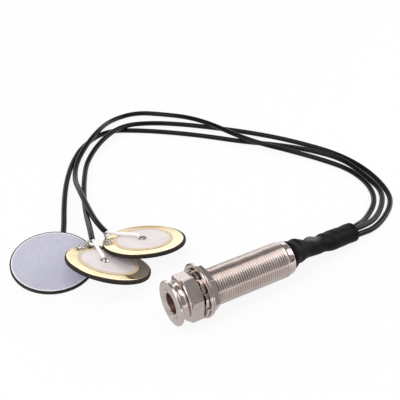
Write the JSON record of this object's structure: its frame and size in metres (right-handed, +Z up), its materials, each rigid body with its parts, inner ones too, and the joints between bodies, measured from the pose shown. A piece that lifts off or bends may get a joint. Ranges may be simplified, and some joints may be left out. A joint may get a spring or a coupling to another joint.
{
  "type": "piezo contact pickup",
  "caption": "Contact pickup for an acoustic instrument: foam-backed piezo discs on thin screened leads, joined in a shrunk sleeve to an end-pin jack with strap button, washers and nut.",
  "frame": {"origin": "on the surface the part lies on, under the middle of everything but the leads", "axes": "+Z up; +X from the discs toward the rear end of the jack; +Y toward the far end of the loop of leads"},
  "size_m": [0.1336, 0.1397, 0.0174],
  "materials": {
    "nickel": "polished",
    "brass": "satin",
    "electrode": "satin",
    "foam": "matte",
    "paper": "matte",
    "solder": "gloss",
    "screen": "satin",
    "core": "gloss",
    "lead": "gloss",
    "sleeve": "satin",
    "insulator": "matte",
    "spring": "satin"
  },
  "bodies": {
    "root": {"strap_button": "nickel", "jack_barrel": "nickel", "lock_washer": "nickel", "wide_washer": "nickel", "thin_washer": "nickel", "hex_nut": "nickel", "barrel_liner": "insulator", "tip_contact": "spring", "contact_carrier": "insulator", "ground_tag": "spring", "tip_joint": "solder", "ground_joint": "solder", "tail_cores": "core", "tail_screen": "screen", "heat_shrink": "sleeve", "lead_1": "lead", "lead_2": "lead", "lead_3": "lead", "disc_1_brass": "brass", "disc_1_ceramic": "electrode", "disc_1_foam": "foam", "disc_1_paper": "paper", "disc_1_core": "core", "disc_1_screen": "screen", "disc_1_core_joint": "solder", "disc_1_rim_joint": "solder", "disc_2_brass": "brass", "disc_2_ceramic": "electrode", "disc_2_foam": "foam", "disc_2_paper": "paper", "disc_2_core": "core", "disc_2_screen": "screen", "disc_2_core_joint": "solder", "disc_2_rim_joint": "solder", "disc_3_brass": "brass", "disc_3_ceramic": "electrode", "disc_3_foam": "foam", "disc_3_paper": "paper", "disc_3_core": "core", "disc_3_screen": "screen", "disc_3_core_joint": "solder", "disc_3_rim_joint": "solder"}
  },
  "joints": []
}
